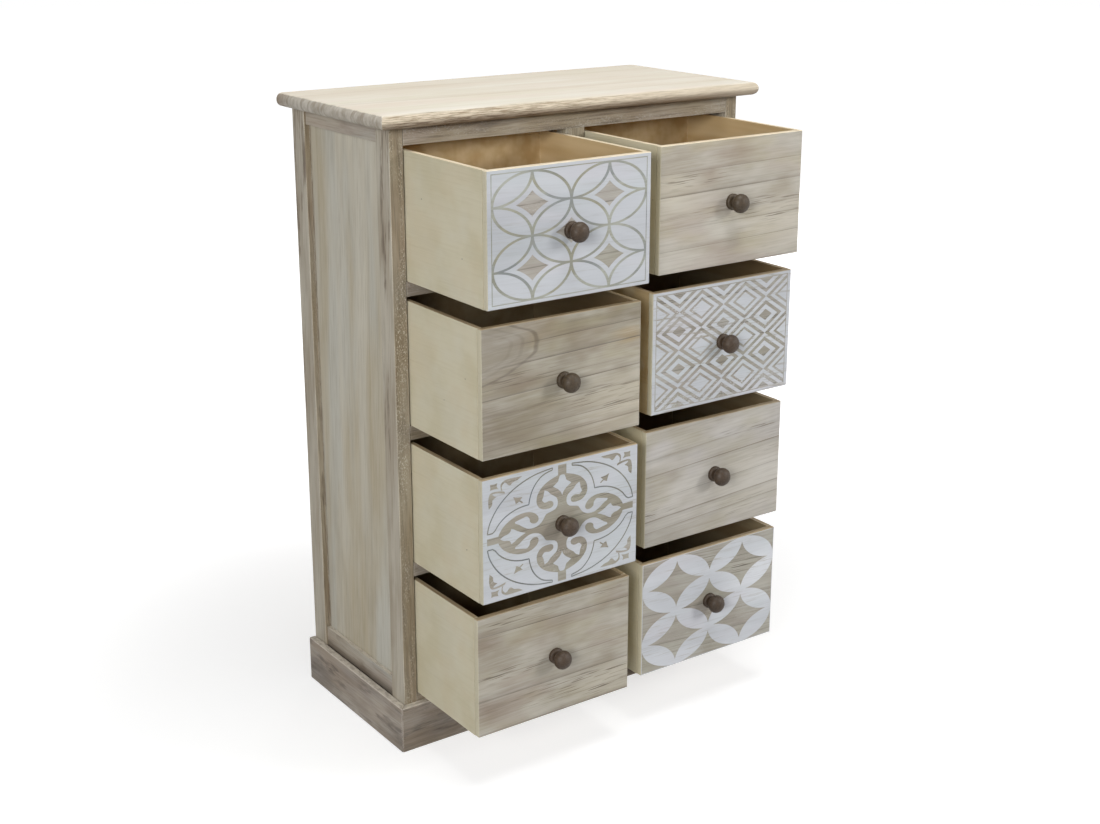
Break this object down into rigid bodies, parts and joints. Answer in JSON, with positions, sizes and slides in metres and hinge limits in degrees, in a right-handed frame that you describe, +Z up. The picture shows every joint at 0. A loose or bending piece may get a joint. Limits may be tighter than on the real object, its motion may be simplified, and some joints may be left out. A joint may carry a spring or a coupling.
{
  "type": "chiffonier",
  "caption": "Tall narrow chest with two columns of sliding drawers, turned knobs, frame-and-panel sides, a round-nosed overhanging top and a mitred plinth.",
  "frame": {"origin": "middle of the floor area that the chest takes up with its drawers open as they are at rest, on the floor", "axes": "+Z up, -Y the way that the drawers open, +Y towards the wall behind, +X to the right of someone facing the drawers"},
  "size_m": [0.604, 0.4666, 0.86],
  "materials": {
    "frame_wood": "greyish whitewash over pale wood, worn on the edges",
    "panel_wood": "thin whitewash, grain upright",
    "top_wood": "pale glued boards with a thin wash, brown-grey nose",
    "plain_front": "brushed wood with a grey-beige wash, grain level",
    "patterned_front": "brushed wood with a traditional pattern in white paint",
    "drawer_side_wood": "bare pale yellow wood",
    "drawer_bottom_wood": "bare tan plywood",
    "board_wood": "bare board",
    "knob_wood": "dark brown stained turned wood, satin"
  },
  "bodies": {
    "carcass": {"top_board": "top_wood", "mullion": "frame_wood", "front_top_rail": "frame_wood", "front_bottom_rail": "frame_wood", "front_rail_1": "frame_wood", "front_rail_2": "frame_wood", "front_rail_3": "frame_wood", "partition": "board_wood", "shelf_1": "board_wood", "shelf_2": "board_wood", "shelf_3": "board_wood", "bottom_board": "board_wood", "back_panel": "board_wood", "plinth_front": "frame_wood", "post_front_left": "frame_wood", "post_back_left": "frame_wood", "side_top_rail_left": "frame_wood", "side_bottom_rail_left": "frame_wood", "side_panel_left": "panel_wood", "side_guide_left": "board_wood", "plinth_left": "frame_wood", "post_front_right": "frame_wood", "post_back_right": "frame_wood", "side_top_rail_right": "frame_wood", "side_bottom_rail_right": "frame_wood", "side_panel_right": "panel_wood", "side_guide_right": "board_wood", "plinth_right": "frame_wood"},
    "drawer_1_left": {"drawer_1_left_front": "patterned_front", "drawer_1_left_box": "drawer_side_wood", "drawer_1_left_bottom": "drawer_bottom_wood", "drawer_1_left_knob": "knob_wood"},
    "drawer_1_right": {"drawer_1_right_front": "plain_front", "drawer_1_right_box": "drawer_side_wood", "drawer_1_right_bottom": "drawer_bottom_wood", "drawer_1_right_knob": "knob_wood"},
    "drawer_2_left": {"drawer_2_left_front": "plain_front", "drawer_2_left_box": "drawer_side_wood", "drawer_2_left_bottom": "drawer_bottom_wood", "drawer_2_left_knob": "knob_wood"},
    "drawer_2_right": {"drawer_2_right_front": "patterned_front", "drawer_2_right_box": "drawer_side_wood", "drawer_2_right_bottom": "drawer_bottom_wood", "drawer_2_right_knob": "knob_wood"},
    "drawer_3_left": {"drawer_3_left_front": "patterned_front", "drawer_3_left_box": "drawer_side_wood", "drawer_3_left_bottom": "drawer_bottom_wood", "drawer_3_left_knob": "knob_wood"},
    "drawer_3_right": {"drawer_3_right_front": "plain_front", "drawer_3_right_box": "drawer_side_wood", "drawer_3_right_bottom": "drawer_bottom_wood", "drawer_3_right_knob": "knob_wood"},
    "drawer_4_left": {"drawer_4_left_front": "plain_front", "drawer_4_left_box": "drawer_side_wood", "drawer_4_left_bottom": "drawer_bottom_wood", "drawer_4_left_knob": "knob_wood"},
    "drawer_4_right": {"drawer_4_right_front": "patterned_front", "drawer_4_right_box": "drawer_side_wood", "drawer_4_right_bottom": "drawer_bottom_wood", "drawer_4_right_knob": "knob_wood"}
  },
  "joints": [
    {"name": "drawer_1_left_slide", "type": "slide", "parent": "carcass", "child": "drawer_1_left", "axis": [0, -1, 0], "range_m": [-0.18213, 0.01287]},
    {"name": "drawer_1_right_slide", "type": "slide", "parent": "carcass", "child": "drawer_1_right", "axis": [0, -1, 0], "range_m": [-0.15792, 0.03708]},
    {"name": "drawer_2_left_slide", "type": "slide", "parent": "carcass", "child": "drawer_2_left", "axis": [0, -1, 0], "range_m": [-0.16685, 0.02815]},
    {"name": "drawer_2_right_slide", "type": "slide", "parent": "carcass", "child": "drawer_2_right", "axis": [0, -1, 0], "range_m": [-0.14758, 0.04742]},
    {"name": "drawer_3_left_slide", "type": "slide", "parent": "carcass", "child": "drawer_3_left", "axis": [0, -1, 0], "range_m": [-0.1645, 0.0305]},
    {"name": "drawer_3_right_slide", "type": "slide", "parent": "carcass", "child": "drawer_3_right", "axis": [0, -1, 0], "range_m": [-0.13865, 0.05635]},
    {"name": "drawer_4_left_slide", "type": "slide", "parent": "carcass", "child": "drawer_4_left", "axis": [0, -1, 0], "range_m": [-0.1504, 0.0446]},
    {"name": "drawer_4_right_slide", "type": "slide", "parent": "carcass", "child": "drawer_4_right", "axis": [0, -1, 0], "range_m": [-0.13559, 0.0594]}
  ]
}
